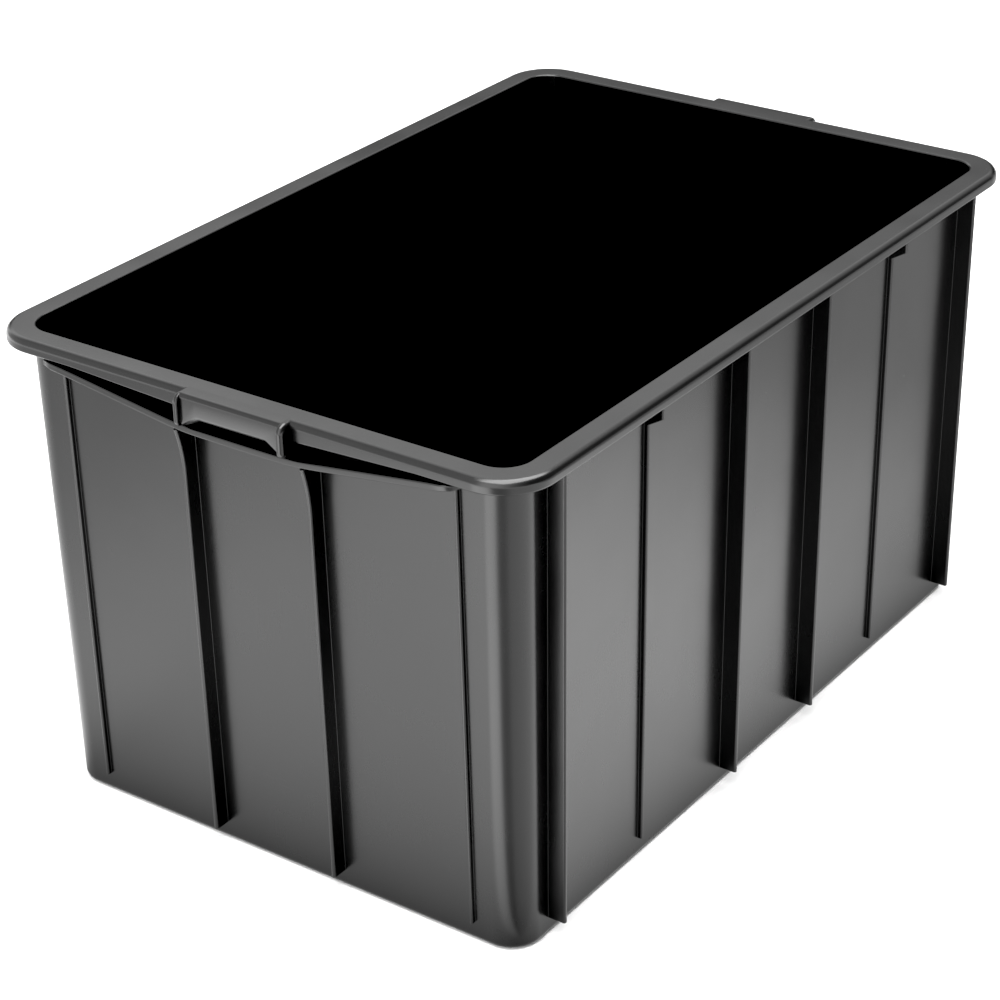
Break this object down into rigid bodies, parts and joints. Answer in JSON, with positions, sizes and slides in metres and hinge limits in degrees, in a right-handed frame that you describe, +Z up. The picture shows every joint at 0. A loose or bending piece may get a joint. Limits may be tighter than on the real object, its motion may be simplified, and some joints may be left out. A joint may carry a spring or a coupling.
{
  "type": "open-top stacking tote",
  "caption": "Deep rectangular open-top tote in black plastic, with a flat channel rim, a grip and hand flange at each end, and upright stacking fins and ribs down the walls.",
  "frame": {"origin": "centre of the underside, on the plane the tote stands on", "axes": "+Z up through the opening, Y along the long side, so the two grips face -Y and +Y; X along the short side"},
  "size_m": [0.404, 0.6166, 0.33],
  "materials": {
    "wall_plastic": "moulded black polypropylene, satin, slightly glossy on the large panels",
    "rim_plastic": "moulded black polypropylene, satin, polished on the edges by handling",
    "rib_plastic": "moulded black polypropylene, satin"
  },
  "bodies": {
    "root": {"tub_shell": "wall_plastic", "rim_collar": "rim_plastic", "hand_flange_front": "rim_plastic", "hand_flange_back": "rim_plastic", "grip_lip_front": "rim_plastic", "grip_lip_back": "rim_plastic", "grip_cheek_front_a": "rim_plastic", "grip_cheek_front_b": "rim_plastic", "grip_cheek_back_a": "rim_plastic", "grip_cheek_back_b": "rim_plastic", "end_fin_front_1": "rib_plastic", "end_fin_front_2": "rib_plastic", "end_fin_back_1": "rib_plastic", "end_fin_back_2": "rib_plastic", "end_rib_front_1": "rib_plastic", "end_rib_front_2": "rib_plastic", "end_rib_back_1": "rib_plastic", "end_rib_back_2": "rib_plastic", "side_fin_right_1": "rib_plastic", "side_fin_right_2": "rib_plastic", "side_fin_right_3": "rib_plastic", "side_fin_right_4": "rib_plastic", "side_fin_left_1": "rib_plastic", "side_fin_left_2": "rib_plastic", "side_fin_left_3": "rib_plastic", "side_fin_left_4": "rib_plastic", "side_rib_right_1": "rib_plastic", "side_rib_right_2": "rib_plastic", "side_rib_left_1": "rib_plastic", "side_rib_left_2": "rib_plastic"}
  },
  "joints": []
}
